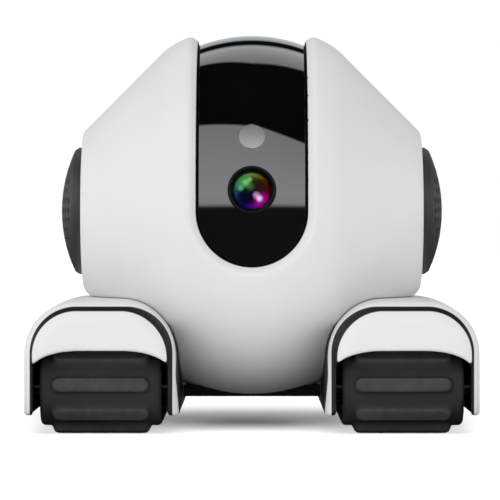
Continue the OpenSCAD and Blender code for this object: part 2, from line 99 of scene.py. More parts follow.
def nets(field, lo, hi, cell, fine):
    """Surface nets of a field over the box lo to hi: vertices and quads, facing out."""
    axes = [ticks(a, b, cell, f) for a, b, f in zip(lo, hi, fine)]
    f = field(*np.meshgrid(*axes, indexing="ij"))
    s = f < 0
    n = [len(a) for a in axes]
    count = np.zeros([k - 1 for k in n], np.uint8)
    corners = [(i, j, k) for i in (0, 1) for j in (0, 1) for k in (0, 1)]
    for i, j, k in corners:
        count += s[i:n[0] - 1 + i, j:n[1] - 1 + j, k:n[2] - 1 + k]
    mixed = (count > 0) & (count < 8)
    cells = np.argwhere(mixed)
    ids = np.full(mixed.shape, -1, np.int64)
    ids[mixed] = np.arange(len(cells))
    total, hits = np.zeros((len(cells), 3)), np.zeros(len(cells))
    for a in corners:
        for axis in range(3):
            if a[axis]:
                continue
            b = list(a)
            b[axis] = 1
            pa, pb = cells + a, cells + b
            fa, fb = f[tuple(pa.T)], f[tuple(pb.T)]
            cross = (fa < 0) != (fb < 0)
            t = np.where(cross, fa / np.where(cross, fa - fb, 1.0), 0.0)
            p = np.tile(np.array(a, float), (len(cells), 1))
            p[:, axis] = t
            total += np.where(cross[:, None], p, 0.0)
            hits += cross
    part = total / hits[:, None]
    v = np.stack([ax[cells[:, i]] + (ax[cells[:, i] + 1] - ax[cells[:, i]]) * part[:, i] for i, ax in enumerate(axes)], 1)
    quads = []
    for axis in range(3):
        u, w = (axis + 1) % 3, (axis + 2) % 3
        here = [slice(1, -1)] * 3
        here[axis] = slice(0, -1)
        there = list(here)
        there[axis] = slice(1, None)
        a, b = s[tuple(here)], s[tuple(there)]
        for inside_first in (True, False):
            e = np.argwhere((a & ~b) if inside_first else (~a & b))
            if not len(e):
                continue
            e[:, u] += 1
            e[:, w] += 1
            ring = []
            for du, dw in ((-1, -1), (0, -1), (0, 0), (-1, 0)):
                c = e.copy()
                c[:, u] += du
                c[:, w] += dw
                ring.append(ids[tuple(c.T)])
            q = np.stack(ring, 1)
            quads.append(q if inside_first else q[:, ::-1])
    return v, np.concatenate(quads)


def relax(field, v, q, rounds, cell):
    """Evens the mesh out along its surface."""
    e = np.concatenate([q[:, [i, (i + 1) % 4]] for i in range(4)])
    e = np.unique(np.sort(e, 1), axis=0)
    deg = np.bincount(e.ravel(), minlength=len(v))[:, None]
    for _ in range(rounds):
        mean = np.stack([np.bincount(e[:, 0], v[e[:, 1], i], len(v)) + np.bincount(e[:, 1], v[e[:, 0], i], len(v))
                         for i in range(3)], 1) / deg
        n = slope(field, v, 0.05)
        n /= np.maximum(np.linalg.norm(n, axis=1), 1e-6)[:, None]
        d = mean - v
        d -= (d * n).sum(1)[:, None] * n
        v = onto(field, v + 0.55 * d, 0.4 * cell)
    return onto(field, v, 0.25 * cell)


def link(name, v, faces, normals=None, matrix=None):
    """A smooth mesh object from vertices in mm."""
    me = bpy.data.meshes.new(name)
    me.from_pydata((np.asarray(v, float) * MM).tolist(), [], [list(map(int, f)) for f in faces])
    me.polygons.foreach_set("use_smooth", np.ones(len(me.polygons), bool))
    me.update()
    if normals is not None:
        me.normals_split_custom_set_from_vertices(np.asarray(normals, float).tolist())
    ob = bpy.data.objects.new(name, me)
    scene.collection.objects.link(ob)
    if matrix is not None:
        ob.matrix_world = matrix
    return ob


def solid(name, field, lo, hi, cell, rounds=4, soft=0.06, fine=((), (), ())):
    """A mesh of the field, with its normals from the field itself."""
    cell *= COARSE
    v, q = nets(field, lo, hi, cell, [[(a, b, c * COARSE) for a, b, c in f] for f in fine])
    v = onto(field, v, 0.5 * cell)
    v = relax(field, v, q, rounds, cell)
    n = slope(field, v, soft)
    n /= np.maximum(np.linalg.norm(n, axis=1), 1e-6)[:, None]
    return link(name, v, q, n)


def mirrored(ob, name):
    """The same piece on the other side of x = 0."""
    me = ob.data
    co = np.empty(len(me.vertices) * 3)
    me.vertices.foreach_get("co", co)
    co = co.reshape(-1, 3) * [-1, 1, 1] / MM
    no = np.empty(len(me.loops) * 3)
    me.corner_normals.foreach_get("vector", no)
    vi = np.empty(len(me.loops), np.int64)
    me.loops.foreach_get("vertex_index", vi)
    normals = np.zeros((len(co), 3))
    normals[vi] = no.reshape(-1, 3) * [-1, 1, 1]
    return link(name, co, [list(p.vertices)[::-1] for p in me.polygons], normals)


def filleted(points, radii, n=6):
    """A polyline with rounded corners, and a point beside each fillet so that flats stay flat."""
    out = []
    m = len(points)
    for i, (p, r) in enumerate(zip(points, radii)):
        p = np.array(p, float)
        if r <= 0 or i in (0, m - 1):
            out.append(p)
            continue
        a, b = np.array(points[i - 1], float) - p, np.array(points[i + 1], float) - p
        la, lb = np.linalg.norm(a), np.linalg.norm(b)
        a, b = a / la, b / lb
        half = math.acos(max(-1.0, min(1.0, float(a @ b)))) / 2
        t = min(r / math.tan(half), 0.48 * la, 0.48 * lb)
        r = t * math.tan(half)
        c = p + (a + b) / np.linalg.norm(a + b) * (r / math.sin(half))
        s, e = p + a * t - c, p + b * t - c
        turn = math.acos(max(-1.0, min(1.0, float(s @ e) / (r * r))))
        sign = 1.0 if s[0] * e[1] - s[1] * e[0] > 0 else -1.0
        if la > 3 * t:
            out.append(p + a * (t + 0.15 * (la - t)))
        for k in range(n + 1):
            w = sign * turn * k / n
            out.append(c + [s[0] * math.cos(w) - s[1] * math.sin(w), s[0] * math.sin(w) + s[1] * math.cos(w)])
        if lb > 3 * t:
            out.append(p + b * (t + 0.15 * (lb - t)))
    return np.array(out)


def lathe(name, profile, segments, closed, matrix=None, order=1):
    """Revolves (radius, height) about its own Z. A point on the axis becomes one pole. closed joins last to first."""
    v, rows = [], []
    for r, z in profile:
        if r < 1e-6:
            rows.append([len(v)] * segments)
            v.append((0.0, 0.0, z))
        else:
            rows.append(list(range(len(v), len(v) + segments)))
            a = np.arange(segments) * 2 * math.pi / segments
            v += list(zip(r * np.cos(a), r * np.sin(a), np.full(segments, z)))
    faces = []
    spans = list(zip(rows[:-1], rows[1:])) + ([(rows[-1], rows[0])] if closed else [])
    for a, b in spans:
        for i in range(segments):
            j = (i + 1) % segments
            f = [a[i], a[j], b[j], b[i]][::order]
            f = [x for k, x in enumerate(f) if x != f[k - 1]]
            if len(f) > 2:
                faces.append(f)
    return link(name, np.array(v, float), faces, None, matrix)


def at_el(e):
    """A frame at the body's axis with its Z along the elevation e, counted from the front over the top."""
    return Matrix.Translation((0, 0, AXIS_H * MM)) @ Matrix.Rotation(math.radians(90 - e), 4, "X")


# ---------------------------------------------------------------- fields of the pieces

def profile_parts(x, y, z):
    r, ax = np.hypot(y, z - AXIS_H), np.abs(x)
    q = r - 9.4
    crown = np.where(ax > q, (ax + q) / S2, np.hypot(ax, q)) - 57.6
    return crown, (ax + r - 88.65) / S2, ax - 60.45, r


def slot_field(x, y, z):
    h = z - AXIS_H
    ext = np.maximum(np.maximum(-h - 0.45, 0.0), np.where(y > 0, 0.9272 * y - 0.3746 * h, -1.0))
    return np.hypot(x, np.maximum(ext, 0.0)) - 18.85


def pod_field(x, y, z):
    xc, lift = np.abs(x) - 51.4, z + y * y / 6000.0
    half = 26.5 - np.where(xc < 0, 0.055 * np.clip(z - 7.0, 0.0, 32.0), 0.0)
    arch = rmax(np.abs(xc) - half, lift - 46.2, 18.0)
    return rmax(arch, np.abs(y) - 67.0, 8.0)


def casing_field(x, y, z):
    crown, flank, side, r = profile_parts(x, y, z)
    outer = smax(smax(crown, flank, 0.7), side, 1.0)
    inner = np.maximum(np.maximum(crown + 3.6, flank + 3.0), side + 3.0)
    cut = -slot_field(x, y, z)
    d = smax(outer, (outer + cut + 3.0) / S2, 1.1)
    d = smax(d, cut, 0.8)
    d = smax(d, -inner, 0.5)
    d = smax(d, 0.12 - pod_field(x, y, z), 0.4)
    d = smax(d, 11.0 - z, 0.3)
    d = smax(d, np.minimum(15.0 - z, 15.1 - np.abs(y)), 0.3)
    return smax(d, 19.0 - r, 0.5)


def front_field(x, y, z):
    return smax(casing_field(x, y, z), y - 7.93, 0.7)


def rear_field(x, y, z):
    d = smax(casing_field(x, y, z), 8.07 - y, 0.7)
    button = np.where(y > 40, 4.85 - np.hypot(x, z - 66.0), -50.0)
    socket = np.where(y > 40, 2.2 - np.hypot(np.maximum(np.abs(x) - 3.0, 0.0), z - 54.0), -50.0)
    d = smax(smax(d, button, 0.9), socket, 0.9)
    post = np.maximum(np.hypot(np.abs(x) - 9.0, z - 50.0) - 2.0, np.maximum(51.6 - y, y - 57.6))
    return np.minimum(d, post)


def mouth_field(x, z):
    u = np.maximum(np.abs(x) - 7.2, 0.0) / 15.7
    v = np.maximum(z - 22.8, 0.0) / 6.1
    n = np.maximum(np.hypot(u, v), 1e-3)
    g = np.maximum(np.hypot(u / 15.7, v / 6.1) / n, 1.0 / 15.7)
    return (n - 1.0) / g


def fender_field(x, y, z):
    d = pod_field(x, y, z)
    ends = np.clip((np.abs(y) - 52.0) / 8.0, 0.0, 1.0) * np.clip((14.0 - z) / 6.0, 0.0, 1.0)
    more = np.where(np.abs(x) < 51.4, 0.7, 0.0) * ends * ends * (3 - 2 * ends)
    d = smax(d, -(d + 2.8 + more), 0.7)
    d = smax(d, -mouth_field(np.abs(x) - 51.7, z), 1.4)
    return smax(d, 6.7 - z, 1.6)


def plate_field(x, y, z):
    d = pod_field(x, y, z)
    d = smax(d - 0.08, -0.9 - d, 0.1)
    end = 61.5 - 0.0148 * np.clip(20.0 - z, 0.0, 13.0) ** 2 - 0.055 * np.maximum(z - 20.0, 0.0) ** 2
    d = smax(d, np.abs(y) - end, 0.3)
    return smax(smax(d, z - 39.5, 0.3), 7.3 - z, 0.3)


WHEEL_Y, AXLE_Z, PITCH_R = 48.0, 15.8, (270.0 - 192.0) / (2 * math.pi)


def belt_field(x, y, z):
    xc, h = np.abs(x) - 51.75, z - AXLE_Z
    over = np.abs(y) - WHEEL_Y
    arc = over > 0
    n = np.hypot(np.maximum(over, 0.0), h)
    turn = PITCH_R * math.pi
    rear = 96.0 + PITCH_R * np.arctan2(over, -h)
    front = 192.0 + turn + PITCH_R * np.arctan2(over, h)
    t = np.where(arc, np.where(y > 0, rear, front),
                 np.where(h < 0, y + WHEEL_Y, 96.0 + turn + WHEEL_Y - y))
    s = t + math.radians(95.6) * PITCH_R
    ds = np.mod(s + 4.5, 9.0) - 4.5
    w = np.where(arc, n * np.sin(ds / PITCH_R), ds)
    up = np.where(arc, n * np.cos(ds / PITCH_R), n) - 13.1
    side = np.abs(xc) - 20.95
    band = rmax(n - 13.1, side, 1.7)
    band = smax(band, 11.5 - n, 0.5)
    tall = np.clip(up / 2.7, 0.0, 1.1)
    foot = np.hypot(np.maximum(np.abs(xc) - 14.4 + 0.7 * tall, 0.0), w) - 2.75 + 0.45 * tall
    bar = rmax(foot * 0.97, up - 2.7, 0.7)
    bar = np.maximum(bar, -0.5 - up)
    return smin(band, bar, 0.7)


def visor_field(x, y, z):
    h = z - AXIS_H
    r = np.hypot(y, h)
    c = np.hypot(x, r - 9.4)
    d = smax(c - 53.4, np.abs(x) - 24.4, 0.5)
    d = smax(d, 50.9 - c, 0.5)
    a, b = math.radians(-58), math.radians(144)
    low = -(y * math.sin(a) + h * math.cos(a))
    high = y * math.sin(b) + h * math.cos(b)
    d = smax(d, np.minimum(low, high), 0.5)
    for e, hole in ((6.2, 7.7), (23.6, 4.1)):
        c, s = math.cos(math.radians(e)), math.sin(math.radians(e))
        out = -y * c + h * s
        d = smax(d, np.where(out > 20, hole - np.hypot(x, y * s + h * c), -50.0), 0.35)
    return d


def ear_field(x, y, z):
    """The dome of a side cover in its own frame: x outward, from the body's middle."""
    r = np.hypot(y, z)
    ball = np.hypot(x - 16.9, r) - 51.4
    d = smax(ball, 60.5 - x, 0.4)
    d = smax(d, r - 20.9, 0.3)
    d = smax(d, -np.maximum(np.hypot(x - 15.3, r) - 51.4, r - 19.4), 0.3)
    p = 3.5
    gy, gz = np.round(y / p) * p, np.round(z / p) * p
    hole = np.where(np.hypot(gy, gz) < 18.0, 0.85 - np.hypot(y - gy, z - gz), -9.0)
    return smax(d, hole, 0.3)


# ---------------------------------------------------------------- materials

def shader(name):
    mat = bpy.data.materials.new(name)
    mat.use_nodes = True
    nt = mat.node_tree
    bsdf = nt.nodes["Principled BSDF"]
    return mat, nt, bsdf


def node(nt, kind, **props):
    n = nt.nodes.new(kind)
    for k, v in props.items():
        setattr(n, k, v)
    return n


def noise(nt, scale, detail=3.0, rough=0.5, coords=None):
    if coords is None:
        coords = node(nt, "ShaderNodeTexCoord").outputs["Object"]
    n = node(nt, "ShaderNodeTexNoise")
    n.inputs["Scale"].default_value = scale
    n.inputs["Detail"].default_value = detail
    n.inputs["Roughness"].default_value = rough
    nt.links.new(coords, n.inputs["Vector"])
    return n.outputs["Fac"]


def ramp(nt, fac, stops):
    n = node(nt, "ShaderNodeValToRGB")
    el = n.color_ramp.elements
    while len(el) < len(stops):
        el.new(0.5)
    for e, (p, c) in zip(el, stops):
        e.position = p
        e.color = (*c, 1.0)
    nt.links.new(fac, n.inputs["Fac"])
    return n.outputs["Color"]


def span(nt, value, a, b, c, d):
    n = node(nt, "ShaderNodeMapRange")
    for k, v in zip(("From Min", "From Max", "To Min", "To Max"), (a, b, c, d)):
        n.inputs[k].default_value = v
    nt.links.new(value, n.inputs["Value"])
    return n.outputs["Result"]


def bumped(nt, bsdf, height, strength, distance):
    n = node(nt, "ShaderNodeBump")
    n.inputs["Strength"].default_value = strength
    n.inputs["Distance"].default_value = distance
    nt.links.new(height, n.inputs["Height"])
    nt.links.new(n.outputs["Normal"], bsdf.inputs["Normal"])


def moulded(name, dark, light, rough, grain, bump, spec=0.5, large=35.0, metal=0.0, coat=0.0, sheen=0.0, coat_ior=1.5):
    """A procedural finish: a slow drift of colour, a fine grain in gloss and relief."""
    mat, nt, bsdf = shader(name)
    nt.links.new(ramp(nt, noise(nt, large, 4.0), [(0.3, dark), (0.7, light)]), bsdf.inputs["Base Color"])
    nt.links.new(span(nt, noise(nt, grain * 0.37, 4.0, 0.6), 0.3, 0.7, *rough), bsdf.inputs["Roughness"])
    bumped(nt, bsdf, noise(nt, grain, 3.0, 0.6), *bump)
    bsdf.inputs["Specular IOR Level"].default_value = spec
    bsdf.inputs["Metallic"].default_value = metal
    bsdf.inputs["Coat Weight"].default_value = coat
    bsdf.inputs["Coat Roughness"].default_value = 0.015
    bsdf.inputs["Coat IOR"].default_value = coat_ior
    bsdf.inputs["Sheen Weight"].default_value = sheen
    return mat


def grey(v, tint=0.0):
    return (v * (1 - tint), v, v * (1 + tint))


M = {
    "shell_white": moulded("shell_white", (0.728, 0.731, 0.742), (0.748, 0.751, 0.76), (0.42, 0.52), 1900, (0.10, 0.00004), 0.3),
    "casing_white": moulded("casing_white", (0.728, 0.731, 0.742), (0.748, 0.751, 0.76), (0.42, 0.52), 1900, (0.10, 0.00004), 0.3),
    "cover_white": moulded("cover_white", (0.728, 0.731, 0.742), (0.748, 0.751, 0.76), (0.42, 0.52), 1900, (0.10, 0.00004), 0.3),
    "visor_black": moulded("visor_black", (0.0016, 0.0016, 0.0019), (0.0026, 0.0026, 0.003), (0.012, 0.022), 300, (0.004, 0.00002), 1.0, coat=1.0, coat_ior=1.8),
    "bezel_black": moulded("bezel_black", grey(0.002), grey(0.004), (0.22, 0.32), 1500, (0.06, 0.00003), 0.12),
    "axle_steel": moulded("axle_steel", grey(0.05), grey(0.09), (0.28, 0.40), 900, (0.12, 0.00003), metal=1.0),
    "trim_black": moulded("trim_black", grey(0.010), grey(0.016), (0.30, 0.42), 1500, (0.10, 0.00004)),
    "window_grey": None,
    "grille_dark": moulded("grille_dark", grey(0.030, 0.02), grey(0.040, 0.02), (0.42, 0.55), 1700, (0.22, 0.00006), 0.45),
    "track_rubber": moulded("track_rubber", grey(0.046), grey(0.056), (0.62, 0.78), 1200, (0.30, 0.00008), 0.10),
    "inner_dark": moulded("inner_dark", grey(0.016), grey(0.024), (0.45, 0.6), 1300, (0.2, 0.00006)),
    "steel": moulded("steel", grey(0.42), grey(0.55), (0.22, 0.38), 900, (0.12, 0.00003), metal=1.0),
    "contact_brass": moulded("contact_brass", (0.62, 0.42, 0.13), (0.75, 0.53, 0.2), (0.16, 0.30), 900, (0.1, 0.00003), metal=1.0),
    "board_green": moulded("board_green", (0.008, 0.055, 0.028), (0.016, 0.085, 0.045), (0.25, 0.4), 700, (0.2, 0.00005)),
    "battery_wrap": moulded("battery_wrap", (0.02, 0.045, 0.11), (0.035, 0.065, 0.15), (0.2, 0.35), 400, (0.2, 0.00008)),
    "led_clear": moulded("led_clear", (0.5, 0.52, 0.54), (0.62, 0.64, 0.66), (0.05, 0.12), 600, (0.05, 0.00003)),
}


def track_material():
    """Matt black rubber, lighter towards the tips of the tread bars and darker in the valleys between them: painted
    shade in the valleys.
    """
    mat = M["track_rubber"]
    nt = mat.node_tree
    bsdf = next(n for n in nt.nodes if n.type == "BSDF_PRINCIPLED")
    xyz = node(nt, "ShaderNodeSeparateXYZ")
    nt.links.new(node(nt, "ShaderNodeTexCoord").outputs["Object"], xyz.inputs[0])
    side = node(nt, "ShaderNodeMath", operation="ABSOLUTE")
    nt.links.new(xyz.outputs["Y"], side.inputs[0])
    over = span(nt, side.outputs[0], 0.048, 0.148, 0.0, 0.1)
    rise = node(nt, "ShaderNodeMath", operation="SUBTRACT")
    nt.links.new(xyz.outputs["Z"], rise.inputs[0])
    rise.inputs[1].default_value = 0.0158
    both = node(nt, "ShaderNodeCombineXYZ")
    nt.links.new(over, both.inputs[0])
    nt.links.new(rise.outputs[0], both.inputs[1])
    reach = node(nt, "ShaderNodeVectorMath", operation="LENGTH")
    nt.links.new(both.outputs[0], reach.inputs[0])
    tip = span(nt, reach.outputs["Value"], 0.0133, 0.0157, 0.0, 1.0)
    # painted shade: the valleys between the tread bars are coloured darker than the tips
    tip_and_valley_shade = node(nt, "ShaderNodeMix", data_type="RGBA", blend_type="MIX")
    nt.links.new(tip, tip_and_valley_shade.inputs["Factor"])
    nt.links.new(ramp(nt, noise(nt, 60.0, 4.0), [(0.3, grey(0.030)), (0.7, grey(0.038))]), tip_and_valley_shade.inputs["A"])
    nt.links.new(ramp(nt, noise(nt, 240.0, 4.0), [(0.3, grey(0.048)), (0.7, grey(0.064))]), tip_and_valley_shade.inputs["B"])
    nt.links.new(tip_and_valley_shade.outputs["Result"], bsdf.inputs["Base Color"])


track_material()


def casing_material():
    """The satin white outside; the inside, of which the slot's edge shows a hair, is near black: painted shade along
    the slot's wall.
    """
    mat = M["casing_white"]
    nt = mat.node_tree
    bsdf = next(n for n in nt.nodes if n.type == "BSDF_PRINCIPLED")
    white = bsdf.inputs["Base Color"].links[0].from_socket
    xyz = node(nt, "ShaderNodeSeparateXYZ")
    nt.links.new(node(nt, "ShaderNodeTexCoord").outputs["Object"], xyz.inputs[0])

    def less(value, by):
        n = node(nt, "ShaderNodeMath", operation="SUBTRACT")
        nt.links.new(value, n.inputs[0])
        n.inputs[1].default_value = by
        return n.outputs[0]

    def length(a, b):
        both = node(nt, "ShaderNodeCombineXYZ")
        nt.links.new(a, both.inputs[0])
        nt.links.new(b, both.inputs[1])
        n = node(nt, "ShaderNodeVectorMath", operation="LENGTH")
        nt.links.new(both.outputs[0], n.inputs[0])
        return n.outputs["Value"]

    slot_shade_reach = length(xyz.outputs["X"], less(length(xyz.outputs["Y"], less(xyz.outputs["Z"], 0.077)), 0.0094))
    # painted shade: the casing's inside and the slot's wall are coloured near black
    coat = node(nt, "ShaderNodeMix", data_type="RGBA", blend_type="MIX")
    nt.links.new(span(nt, slot_shade_reach, 0.0548, 0.0551, 1.0, 0.0), coat.inputs["Factor"])
    nt.links.new(white, coat.inputs["A"])
    nt.links.new(ramp(nt, noise(nt, 80.0, 4.0), [(0.3, grey(0.012)), (0.7, grey(0.018))]), coat.inputs["B"])
    nt.links.new(coat.outputs["Result"], bsdf.inputs["Base Color"])


casing_material()


def cover_material():
    """The satin white outside of a track cover; its inside is near black, painted shade in the gaps beside the track
    and over the track's top.
    """
    mat = M["cover_white"]
    nt = mat.node_tree
    bsdf = next(n for n in nt.nodes if n.type == "BSDF_PRINCIPLED")
    white = bsdf.inputs["Base Color"].links[0].from_socket
    xyz = node(nt, "ShaderNodeSeparateXYZ")
    nt.links.new(node(nt, "ShaderNodeTexCoord").outputs["Object"], xyz.inputs[0])

    def step(op, a, b=0.0):
        n = node(nt, "ShaderNodeMath", operation=op)
        for i, v in enumerate((a, b)):
            if isinstance(v, float):
                n.inputs[i].default_value = v
            else:
                nt.links.new(v, n.inputs[i])
        return n.outputs[0]

    off = step("ABSOLUTE", step("SUBTRACT", step("ABSOLUTE", xyz.outputs["X"]), 0.0514))
    both = node(nt, "ShaderNodeCombineXYZ")
    nt.links.new(step("MAXIMUM", step("SUBTRACT", off, 0.0085), 0.0), both.inputs[0])
    nt.links.new(step("MAXIMUM", step("SUBTRACT", xyz.outputs["Z"], 0.0282), 0.0), both.inputs[1])
    reach = node(nt, "ShaderNodeVectorMath", operation="LENGTH")
    nt.links.new(both.outputs[0], reach.inputs[0])
    # painted shade: the cover's inside is coloured near black
    inside = step("MULTIPLY", span(nt, reach.outputs["Value"], 0.0157, 0.0159, 1.0, 0.0),
                  span(nt, step("ABSOLUTE", xyz.outputs["Y"]), 0.0652, 0.0654, 1.0, 0.0))
    coat = node(nt, "ShaderNodeMix", data_type="RGBA", blend_type="MIX")
    nt.links.new(inside, coat.inputs["Factor"])
    nt.links.new(white, coat.inputs["A"])
    nt.links.new(ramp(nt, noise(nt, 80.0, 4.0), [(0.3, grey(0.008)), (0.7, grey(0.014))]), coat.inputs["B"])
    nt.links.new(coat.outputs["Result"], bsdf.inputs["Base Color"])


cover_material()


def window_material():
    """Frosted grey plastic, darker towards its upper side and lighter towards its lower."""
    mat, nt, bsdf = shader("window_grey")
    tc = node(nt, "ShaderNodeTexCoord").outputs["Object"]
    xyz = node(nt, "ShaderNodeSeparateXYZ")
    nt.links.new(tc, xyz.inputs[0])
    f = span(nt, xyz.outputs["Y"], 0.0045, -0.0045, 0.0, 1.0)
    nt.links.new(ramp(nt, f, [(0.0, grey(0.16, 0.02)), (0.5, grey(0.25, 0.02)), (1.0, grey(0.36, 0.02))]), bsdf.inputs["Base Color"])
    nt.links.new(span(nt, noise(nt, 900, 3.0, 0.6), 0.3, 0.7, 0.26, 0.36), bsdf.inputs["Roughness"])
    bumped(nt, bsdf, noise(nt, 2200, 3.0, 0.6), 0.08, 0.00003)
    bsdf.inputs["Specular IOR Level"].default_value = 0.3
    return mat


def lens_material():
    """Coated glass: the coating's hues, a painted reflection, turn round the rim, and painted glints lie over a dark
    inside.
    """
    mat, nt, bsdf = shader("lens_glass")
    tc = node(nt, "ShaderNodeTexCoord").outputs["Object"]
    scaled = node(nt, "ShaderNodeVectorMath", operation="MULTIPLY")
    scaled.inputs[1].default_value = (1 / 0.0065, 1 / 0.0065, 0)
    nt.links.new(tc, scaled.inputs[0])
    at = scaled.outputs[0]
    xyz = node(nt, "ShaderNodeSeparateXYZ")
    nt.links.new(at, xyz.inputs[0])
    turn = node(nt, "ShaderNodeMath", operation="ARCTAN2")
    nt.links.new(xyz.outputs["Y"], turn.inputs[0])
    nt.links.new(xyz.outputs["X"], turn.inputs[1])
    f = span(nt, turn.outputs[0], -math.pi, math.pi, 0.0, 1.0)
    # painted reflection: the coating's hues round the rim and the bright ring near its edge
    # from the left, round by the bottom, the right and the top
    hues = ramp(nt, f, [
        (0.00, (0.015, 0.10, 0.10)), (0.05, (0.010, 0.05, 0.13)), (0.10, (0.008, 0.015, 0.12)), (0.18, (0.014, 0.0, 0.16)),
        (0.25, (0.127, 0.003, 0.28)), (0.32, (0.36, 0.003, 0.40)), (0.375, (0.52, 0.003, 0.36)), (0.42, (0.36, 0.0, 0.09)),
        (0.50, (0.11, 0.0, 0.003)), (0.555, (0.10, 0.010, 0.003)), (0.61, (0.10, 0.038, 0.003)), (0.665, (0.13, 0.13, 0.007)),
        (0.72, (0.18, 0.21, 0.05)), (0.79, (0.17, 0.34, 0.06)), (0.86, (0.07, 0.35, 0.07)), (0.93, (0.05, 0.27, 0.14)),
        (1.00, (0.015, 0.10, 0.10)),
    ])
    rad = node(nt, "ShaderNodeVectorMath", operation="LENGTH")
    nt.links.new(at, rad.inputs[0])
    rings = ramp(nt, rad.outputs["Value"], [(0.0, grey(0.03)), (0.45, grey(0.05)), (0.66, grey(0.22)), (0.82, grey(0.95)), (0.93, grey(1.0)), (0.975, grey(0.30))])
    mix = node(nt, "ShaderNodeMix", data_type="RGBA", blend_type="MULTIPLY")
    mix.inputs["Factor"].default_value = 1.0
    nt.links.new(hues, mix.inputs["A"])
    nt.links.new(rings, mix.inputs["B"])
    colour = mix.outputs["Result"]
    # painted glints and painted reflection patches, one spot each
    for cx, cy, near, far, tone in (
            (0.48, 0.22, 0.10, 0.48, (0.018, 0.004, 0.003)), (-0.35, -0.35, 0.10, 0.50, (0.002, 0.003, 0.014)),
            (-0.08, 0.20, 0.03, 0.28, (0.035, 0.10, 0.035)), (-0.40, 0.50, 0.16, 0.44, (0.06, 0.30, 0.06)),
            (-0.33, 0.42, 0.03, 0.22, (0.21, 0.50, 0.19)), (-0.12, 0.58, 0.02, 0.17, (0.26, 0.48, 0.19)),
            (-0.60, 0.14, 0.04, 0.22, (0.09, 0.37, 0.23)), (0.50, -0.50, 0.12, 0.46, (0.44, 0.005, 0.33)),
            (0.24, -0.27, 0.04, 0.24, (0.55, 0.22, 0.52)), (0.40, -0.43, 0.06, 0.21, (0.85, 0.62, 0.85))):
        away = node(nt, "ShaderNodeVectorMath", operation="DISTANCE")
        away.inputs[1].default_value = (cx, cy, 0.0)
        nt.links.new(at, away.inputs[0])
        painted_glint = node(nt, "ShaderNodeMix", data_type="RGBA", blend_type="MIX")
        nt.links.new(span(nt, away.outputs["Value"], far, near, 0.0, 1.0), painted_glint.inputs["Factor"])
        nt.links.new(colour, painted_glint.inputs["A"])
        painted_glint.inputs["B"].default_value = (*tone, 1.0)
        colour = painted_glint.outputs["Result"]
    nt.links.new(colour, bsdf.inputs["Base Color"])
    nt.links.new(span(nt, noise(nt, 500, 2.0), 0.3, 0.7, 0.03, 0.06), bsdf.inputs["Roughness"])
    bsdf.inputs["Specular IOR Level"].default_value = 0.05
    return mat


M["window_grey"] = window_material()
M["lens_glass"] = lens_material()


# ---------------------------------------------------------------- pieces

def finish_piece(ob, body, node_name, slot, look=None):
    ob.data.materials.append(M[look or slot])
    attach(ob, body)
    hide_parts(node_name)
    return ob


EDGE_X = ((-22.6, -17.8, 0.40), (-17.8, 17.8, 0.48), (17.8, 22.6, 0.40))
finish_piece(solid("casing_front", front_field, (-61, -67.2, 11), (61, 8, 142), 1.25, fine=(EDGE_X, (), ((56, 73, 0.40),))), "base", "front_shell", "shell_white", "casing_white")
finish_piece(solid("casing_rear", rear_field, (-61, 8, 11), (61, 67.2, 142), 1.25, fine=(EDGE_X, (), ((48, 73, 0.52), (112, 134, 0.6)))), "base", "rear_shell", "shell_white", "casing_white")

cover = solid("track_cover_right", fender_field, (24.9, -67, 6.7), (77.9, 67, 47.8), 0.72)
cover_left = mirrored(cover, "track_cover_left")
finish_piece(cover, "base", "fender_right", "shell_white", "cover_white")
finish_piece(cover_left, "base", "fender_left", "shell_white", "cover_white")

# The near black liner plates stand in for the deep shade between pod and body: painted shade.
plate = solid("inner_plate_right", plate_field, (24.7, -63, 7.2), (33, 63, 39.6), 0.5, rounds=2)
plate_left = mirrored(plate, "inner_plate_left")
finish_piece(plate, "base", "pod_liner_right", "inner_dark")
finish_piece(plate_left, "base", "pod_liner_left", "inner_dark")

belt = solid("track_right", belt_field, (30.8, -63.8, 0), (72.7, 63.8, 31.6), 0.59, rounds=3)
belt_left = mirrored(belt, "track_left")
finish_piece(belt, "base", "track_belt_right", "track_rubber")
finish_piece(belt_left, "base", "track_belt_left", "track_rubber")

finish_piece(solid("head_visor", visor_field, (-24.4, -63, 22), (24.4, 53, 140), 0.95, fine=(((-9.2, 9.2, 0.42),), (), ((73, 92.4, 0.42), (96, 108, 0.42)))), "head", "visor", "visor_black")

ear = solid("side_cover_right", lambda x, y, z: ear_field(x, y, z - AXIS_H), (60.5, -21.4, 55.6), (68.8, 21.4, 98.4), 0.33, rounds=3)
ear_left = mirrored(ear, "side_cover_left")
finish_piece(ear, "base", "ear_grille_right", "grille_dark")
finish_piece(ear_left, "base", "ear_grille_left", "grille_dark")

RING = filleted([(20.96, 60.4), (22.8, 60.4), (22.8, 61.9), (21.8, 63.45), (20.96, 63.85), (20.96, 60.4)],
                [0, 0.1, 0.5, 0.6, 0.12, 0])[:-1]
for side, sx in (("right", 1), ("left", -1)):
    place = Matrix.Translation((0, 0, AXIS_H * MM)) @ Matrix.Rotation(sx * math.pi / 2, 4, "Y")
    finish_piece(lathe(f"side_rim_{side}", RING, 128, True, place, -1), "base", f"ear_rim_{side}", "grille_dark")

BEZEL = filleted([(6.45, 57.05), (7.5, 57.05), (7.5, 56.0), (8.35, 56.0), (8.35, 62.66), (7.4, 62.7), (6.45, 61.6), (6.45, 57.05)],
                 [0, 0.05, 0.1, 0.1, 0.4, 0.3, 0.2, 0])[:-1]
finish_piece(lathe("lens_ring", BEZEL, 128, True, at_el(6.2), -1), "head", "lens_bezel", "trim_black", "bezel_black")

dome = [(12.0 * math.sin(a), 62.1 - 12.0 + 12.0 * math.cos(a)) for a in np.linspace(0, math.asin(6.25 / 12.0), 22)]
LENS = dome + [(6.35, 60.26), (6.4, 60.14), (6.4, 59.9), (6.4, 57.4), (6.35, 57.15), (6.2, 57.1), (5.5, 57.1), (0.0, 57.1)]
finish_piece(lathe("lens_front", LENS, 96, False, at_el(6.2)), "head", "front_lens", "lens_glass")

